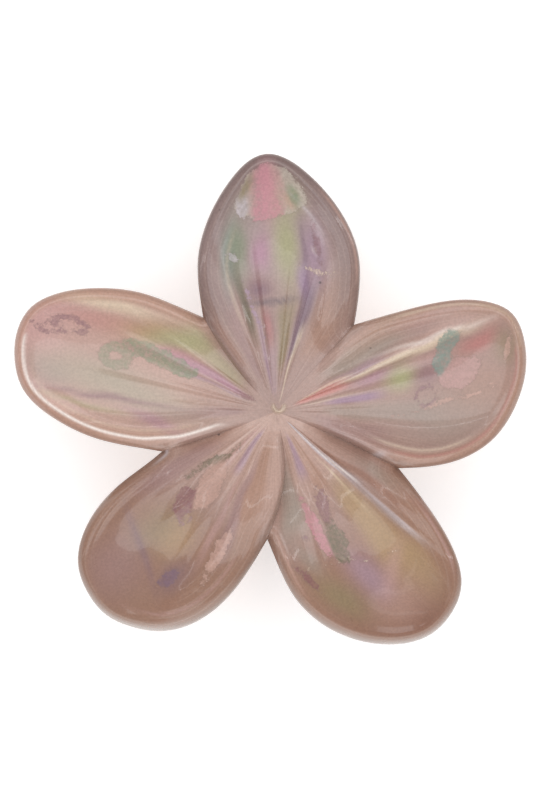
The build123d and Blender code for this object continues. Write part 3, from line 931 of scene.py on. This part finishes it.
def madeHandling():
    # hairline scratches, soft smears and specks of dust left by handling
    inputs = {"Scratch scale": 900.0, "Speck scale": 380.0, "Amount": 1.0}
    tree, given, result = effect("handling", inputs, ["Scratches", "Smear", "Specks"])
    place = objectPlace(tree)
    lines = []
    for turn, stretch in ((0.6, 0.03), (2.1, 0.05)):
        along = stretched(tree, place, (1, stretch, 0.3), turn)
        lines.append(remap(tree, noise(tree, along, given["Scratch scale"], 2.0, 0.7), 0.68, 0.76))
    patchy = remap(tree, noise(tree, place, 90.0, 2.0), 0.5, 0.66)
    scratches = times(tree, maths(tree, "MAXIMUM", *lines), patchy, given["Amount"])
    tree.links.new(scratches, result["Scratches"])
    tree.links.new(remap(tree, noise(tree, place, 130.0, 4.0, 0.7), 0.42, 0.7), result["Smear"])
    cells = {"Vector": place, "Scale": given["Speck scale"], "Randomness": 1.0}
    cell = addNode(tree, "ShaderNodeTexVoronoi", cells).outputs
    chance = addNode(tree, "ShaderNodeSeparateColor", {"Color": cell["Color"]}).outputs[0]
    speck = remap(tree, cell["Distance"], 0.05, 0.13, 1.0, 0.0)
    keep = maths(tree, "GREATER_THAN", chance, 0.955)     # only a few cells hold a speck
    tree.links.new(times(tree, speck, keep, given["Amount"]), result["Specks"])
    return tree


def madePearlGrain():
    # the glitter of pearl flakes in the plastic, and the film's own soft ripples
    tree, given, result = effect("pearlGrain", {"Grain scale": 2600.0, "Ripple scale": 420.0},
                                 ["Grain", "Ripple"])
    place = objectPlace(tree)
    tree.links.new(noise(tree, place, given["Grain scale"], 1.0), result["Grain"])
    tree.links.new(noise(tree, place, given["Ripple scale"], 3.0, 0.6), result["Ripple"])
    return tree


def useEffect(tree, group, **values):
    made = tree.nodes.new("ShaderNodeGroup")
    made.node_tree = group
    for key, value in values.items():
        made.inputs[key.replace("_", " ")].default_value = value
    return made.outputs


def blended(tree, amount, first, second, how="MIX"):
    made = addNode(tree, "ShaderNodeMix", data_type="RGBA", blend_type=how)
    for socket, value in ((made.inputs["Factor"], amount), (made.inputs[6], first), (made.inputs[7], second)):
        if isinstance(value, bpy.types.NodeSocket):
            tree.links.new(value, socket)
        else:
            socket.default_value = value
    return made.outputs[2]


def newMaterial(name, **sockets):
    made = bpy.data.materials.new(name)
    made.use_nodes = True
    shader = made.node_tree.nodes["Principled BSDF"]
    for key, value in sockets.items():
        shader.inputs[key.replace("_", " ")].default_value = value
    return made, made.node_tree, shader


def bumped(tree, shader, height, strength, distance):
    given = {"Height": height, "Strength": strength, "Distance": distance}
    tree.links.new(addNode(tree, "ShaderNodeBump", given).outputs["Normal"], shader.inputs["Normal"])


def opaque(tone):
    return tuple(tone) + (1,)


flowLines, handling, pearlGrain = madeFlowLines(), madeHandling(), madePearlGrain()
gloss = dict(IOR=1.5, Specular_IOR_Level=0.4, Coat_Weight=0.6, Coat_Roughness=0.05, Coat_IOR=1.5,
             Thin_Film_Thickness=315.0, Thin_Film_IOR=1.42)
# strengths and colours of the fine marks on the plastic, colours as the shader takes them
marks = dict(
    flake=0.9, flakeRag=2.6, flakeShine=0.1, crease=0.18, creaseTone=(0.22, 0.15, 0.13),
    light=0.16, lightTone=(0.78, 0.62, 0.55), dark=0.14, darkTone=(0.20, 0.115, 0.095),
    rings=0.08, ringTone=(0.72, 0.55, 0.46), ringTurn=6.2, ringWobble=1.2, mottle=0.07,
    scratchTone=(0.8, 0.72, 0.66), dustTone=(0.05, 0.04, 0.035),
    bump=0.5, bumpDepth=0.0001,
)


def madePearlPlastic():
    # the flower: plastic tone, film, painted highlights and painted shade from the piece's own
    # attributes, broken by flow lines from the middle, ragged flakes, lines along the rim and handling
    f = marks
    made, tree, shader = newMaterial("pearlPlastic", **gloss)
    tone, flakeTone = attribute(tree, "filmAndPaintedLightTone", "Color"), attribute(tree, "flakeTone", "Color")
    inFlake = attribute(tree, "inFlake", "Fac")
    rim = addNode(tree, "ShaderNodeSeparateXYZ", {0: attribute(tree, "rimWay", "Vector")}).outputs
    flow = useEffect(tree, flowLines, Middle_X=flowerX * mm, Middle_Y=flowerY * mm,
                     Fade_from=0.006, Fade_to=0.027)
    wear = useEffect(tree, handling, Amount=0.14)
    grain = useEffect(tree, pearlGrain)
    place = objectPlace(tree)

    ragged = maths(tree, "SUBTRACT", noise(tree, place, 700.0, 8.0, 0.78), 0.5)
    depth = plus(tree, inFlake, times(tree, ragged, f["flakeRag"]))
    worn = remap(tree, noise(tree, place, 1500.0, 4.0, 0.7), 0.3, 0.62, 0.45, 1.0)
    flake = times(tree, remap(tree, depth, -0.05, 0.15), worn, rim["Z"])
    crease = times(tree, remap(tree, maths(tree, "ABSOLUTE", depth, 0.0), 0.02, 0.16, 1.0, 0.0), rim["Z"])

    # fine lines that follow the rim inside its band
    wobble = times(tree, noise(tree, place, 60.0, 2.0), f["ringWobble"])
    phase = plus(tree, times(tree, rim["X"], f["ringTurn"]), wobble)
    rings = times(tree, remap(tree, maths(tree, "SINE", phase, 0.0), 0.55, 1.0), rim["Y"])

    streak = remap(tree, flow["Lines"], 0.36, 0.64)
    fine = remap(tree, flow["Fine"], 0.38, 0.66)
    near = plus(tree, times(tree, flow["Near"], 0.9), 0.1)
    light = times(tree, streak, fine, near)
    dark = times(tree, remap(tree, flow["Fine"], 0.34, 0.5, 1.0, 0.0), near)
    colour = blended(tree, times(tree, flake, f["flake"]), tone, flakeTone)
    for amount, name in ((light, "light"), (dark, "dark")):
        colour = blended(tree, times(tree, amount, f[name]), colour, opaque(f[name + "Tone"]))
    colour = blended(tree, times(tree, rings, f["rings"]), colour, opaque(f["ringTone"]))
    colour = blended(tree, times(tree, crease, f["crease"]), colour, opaque(f["creaseTone"]))
    mottle = remap(tree, grain["Grain"], 0.25, 0.75, 1 - f["mottle"], 1 + f["mottle"])
    spotted = addNode(tree, "ShaderNodeCombineColor", {0: mottle, 1: mottle, 2: mottle}).outputs[0]
    colour = blended(tree, 1.0, colour, spotted, "MULTIPLY")
    colour = blended(tree, times(tree, wear["Scratches"], 0.35), colour, opaque(f["scratchTone"]))
    colour = blended(tree, times(tree, wear["Specks"], 5.0), colour, opaque(f["dustTone"]))
    tree.links.new(colour, shader.inputs["Base Color"])

    rough = plus(tree, remap(tree, wear["Smear"], 0.0, 1.0, 0.24, 0.36),
                 times(tree, wear["Scratches"], 0.3), times(tree, flake, f["flakeShine"]))
    tree.links.new(rough, shader.inputs["Roughness"])
    height = plus(tree, times(tree, flow["Fine"], near, 0.6), times(tree, flow["Lines"], near, 1.2),
                  times(tree, rings, 0.35), times(tree, flake, 0.25), times(tree, grain["Ripple"], 0.35))
    bumped(tree, shader, height, f["bump"], f["bumpDepth"])
    return made


def madePlainPlastic():
    # teeth, lugs and spring seats: the same plastic without the film
    f = marks
    made, tree, shader = newMaterial("plainPearl", **gloss)
    wear = useEffect(tree, handling, Amount=0.8)
    grain = useEffect(tree, pearlGrain)
    clouds = noise(tree, objectPlace(tree), 160.0, 4.0, 0.6)
    base, deep = opaque(daylight("roseLight")), opaque(daylight("brown") * 1.05)
    colour = blended(tree, remap(tree, clouds, 0.3, 0.7), deep, base)
    colour = blended(tree, remap(tree, grain["Ripple"], 0.45, 0.75, 0.0, 0.35), colour, opaque(daylight("lilac")))
    colour = blended(tree, times(tree, wear["Scratches"], 0.4), colour, opaque(f["scratchTone"]))
    colour = blended(tree, times(tree, wear["Specks"], 0.6), colour, opaque(f["dustTone"]))
    tree.links.new(colour, shader.inputs["Base Color"])
    tree.links.new(remap(tree, wear["Smear"], 0.0, 1.0, 0.24, 0.38), shader.inputs["Roughness"])
    height = plus(tree, times(tree, grain["Ripple"], 0.4), times(tree, wear["Scratches"], -0.3))
    bumped(tree, shader, height, f["bump"], f["bumpDepth"])
    return made


def madeSteel(name, place, lineScale, tone, roughLow, roughHigh):
    # bare steel with fine drawing or grinding lines across the given coordinate
    made, tree, shader = newMaterial(name, Metallic=1.0, IOR=2.5)
    lines = noise(tree, place(tree), lineScale, 3.0, 0.6)
    wear = useEffect(tree, handling, Scratch_scale=1500.0, Speck_scale=900.0)
    stain = noise(tree, objectPlace(tree), 300.0, 4.0, 0.6)
    colour = blended(tree, remap(tree, lines, 0.3, 0.7), opaque(c * 0.8 for c in tone), opaque(tone))
    colour = blended(tree, remap(tree, stain, 0.55, 0.8, 0.0, 0.4), colour, (0.30, 0.25, 0.20, 1))
    colour = blended(tree, times(tree, wear["Specks"], 0.5), colour, (0.08, 0.07, 0.06, 1))
    tree.links.new(colour, shader.inputs["Base Color"])
    tree.links.new(remap(tree, lines, 0.3, 0.7, roughLow, roughHigh), shader.inputs["Roughness"])
    bumped(tree, shader, lines, 0.35, 0.00003)
    return made


def acrossPin(tree):
    return stretched(tree, objectPlace(tree), (1, 0.02, 0.02))


def alongWire(tree):
    return stretched(tree, attribute(tree, "wireWay", "Vector"), (0.02, 1, 1))


pearlPlastic, plainPearl = madePearlPlastic(), madePlainPlastic()
groundSteel = madeSteel("groundSteel", acrossPin, 9000.0, (0.60, 0.60, 0.61), 0.22, 0.36)
springWire = madeSteel("springWire", alongWire, 3.0, (0.62, 0.60, 0.57), 0.2, 0.34)
print("materials ready")


for jaw, back in (("front_jaw", False), ("back_jaw", True)):
    side = jaw.split("_")[0]
    petalShell = makePiece(side + "_flower", shellPoints, shellFaces, pearlPlastic, back)
    filmAndPaintedLightTone, flakeTone, inFlake = pearlFilm(shellPoints, petalFacts, paint["backTurn"] if back else 0)
    plain = daylight("roseLight") * paint["inside"]     # the inside has no film
    filmAndPaintedLightTone = plain + (filmAndPaintedLightTone - plain) * outside[:, None]
    for name, tone in (("filmAndPaintedLightTone", filmAndPaintedLightTone), ("flakeTone", flakeTone)):
        pointFact(petalShell, name, np.pad(tone, ((0, 0), (0, 1)), constant_values=1.0), "FLOAT_COLOR")
    pointFact(petalShell, "inFlake", inFlake)
    radius = np.hypot(shellPoints[:, 0], shellPoints[:, 1])
    inBand = (1 - smoothStep(petalFacts[:, 2] / petalFacts[:, 3], 0.7, 1.1)) * smoothStep(radius, 6, 16)
    pointFact(petalShell, "rimWay", np.stack([petalFacts[:, 2], inBand, outside], 1), "FLOAT_VECTOR")
    teeth = makePiece(side + "_teeth", *toothRow(back), plainPearl, back)
    hingeLugs = makePiece(side + "_hinge_lugs", *lugPair(back), plainPearl, back)
    seat = makePiece(side + "_spring_seat", *springSeat(-1 if back else 1), plainPearl, back)
    rounded = seat.modifiers.new("rounded", "BEVEL")
    rounded.width, rounded.segments = seatSet["bevel"] * mm, seatSet["bevelSegments"]
    rounded.limit_method = "ANGLE"
    for piece in (petalShell, teeth, hingeLugs, seat):
        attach(piece, jaw)
        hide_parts(jaw)
    print(jaw, "dressed")

wirePoints, wireFaces, wireWay = tubeAlong(springPath(), springSet["wire"], springSet["around"])
spring = makePiece("spring_wire", wirePoints, wireFaces, springWire)
pointFact(spring, "wireWay", wireWay, "FLOAT_VECTOR")
toFrame([-springReach, hingeRise, 0]).tolist()
toFrame([springReach, hingeRise, 0]).tolist()
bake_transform(spring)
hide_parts("torsion_spring")

pin = frame["nodes"]["hinge_pin"]
if not pin.material_slots:
    pin.data.materials.append(groundSteel)
pin.material_slots[0].material = groundSteel
print("spring and pin ready")

studio = dict(floorSize=80.0, floorTone=0.9, floorGlow=0.45, sky=0.55, cameraRise=1.6,
              frameHeight=127.06, focusPlane=30.0, aimX=0.0, aimY=-0.9)
floorMesh = bpy.data.meshes.new("floor")
half = studio["floorSize"] / 2
floorMesh.from_pydata([(-half, -half, 0), (half, -half, 0), (half, half, 0), (-half, half, 0)], [], [(0, 1, 2, 3)])
floor = bpy.data.objects.new("floor", floorMesh)
bpy.context.scene.collection.objects.link(floor)
paper, paperTree, paperShader = newMaterial("palePaper", Roughness=0.8, Emission_Strength=studio["floorGlow"],
                                            Emission_Color=(1, 1, 1, 1))
paperShader.inputs["Base Color"].default_value = (studio["floorTone"],) * 3 + (1,)
floorMesh.materials.append(paper)

# straight above the flower; the frame is as high as frameHeight mm at the focus plane
camera = bpy.data.cameras.new("camera")
camera.sensor_width = 36
camera.lens = 36 * studio["cameraRise"] / (studio["frameHeight"] * mm)
eye = bpy.data.objects.new("camera", camera)
eye.location = (studio["aimX"] * mm, studio["aimY"] * mm, studio["focusPlane"] * mm + studio["cameraRise"])
bpy.context.scene.collection.objects.link(eye)
bpy.context.scene.camera = eye

world = bpy.data.worlds.new("studio")
world.use_nodes = True
sky = world.node_tree.nodes["Background"]
sky.inputs["Color"].default_value = (1, 1, 1, 1)
skyTree = world.node_tree
seen = skyTree.nodes.new("ShaderNodeLightPath").outputs["Is Camera Ray"]     # a white backdrop
skyTree.links.new(remap(skyTree, seen, 0.0, 1.0, studio["sky"], 1.0), sky.inputs["Strength"])
bpy.context.scene.world = world
bpy.context.scene.view_settings.view_transform = "Standard"


def softbox(name, place, size, power, tint=(1, 1, 1)):
    # an area light that faces the object's middle
    light = bpy.data.lights.new(name, "AREA")
    light.shape = "RECTANGLE"
    light.size, light.size_y = size
    light.energy = power
    light.color = tint
    box = bpy.data.objects.new(name, light)
    box.location = place
    x, y, z = -np.array(place) / np.linalg.norm(place)
    box.rotation_euler = (math.acos(-z), 0, math.atan2(y, x) - math.pi / 2)
    bpy.context.scene.collection.objects.link(box)


softbox("overhead", (0.0, 0.05, 1.2), (1.4, 1.4), 8)
softbox("nearKey", (-0.15, -0.85, 0.34), (0.8, 0.06), 0.12, (1, 0.97, 0.95))
softbox("farStrip", (-0.1, 0.75, 0.6), (0.9, 0.05), 0.4)
softbox("leftStrip", (-0.8, -0.2, 0.4), (0.05, 0.6), 0.25, (1, 0.95, 0.94))
softbox("rightStrip", (0.8, 0.05, 0.4), (0.05, 0.5), 0.3)
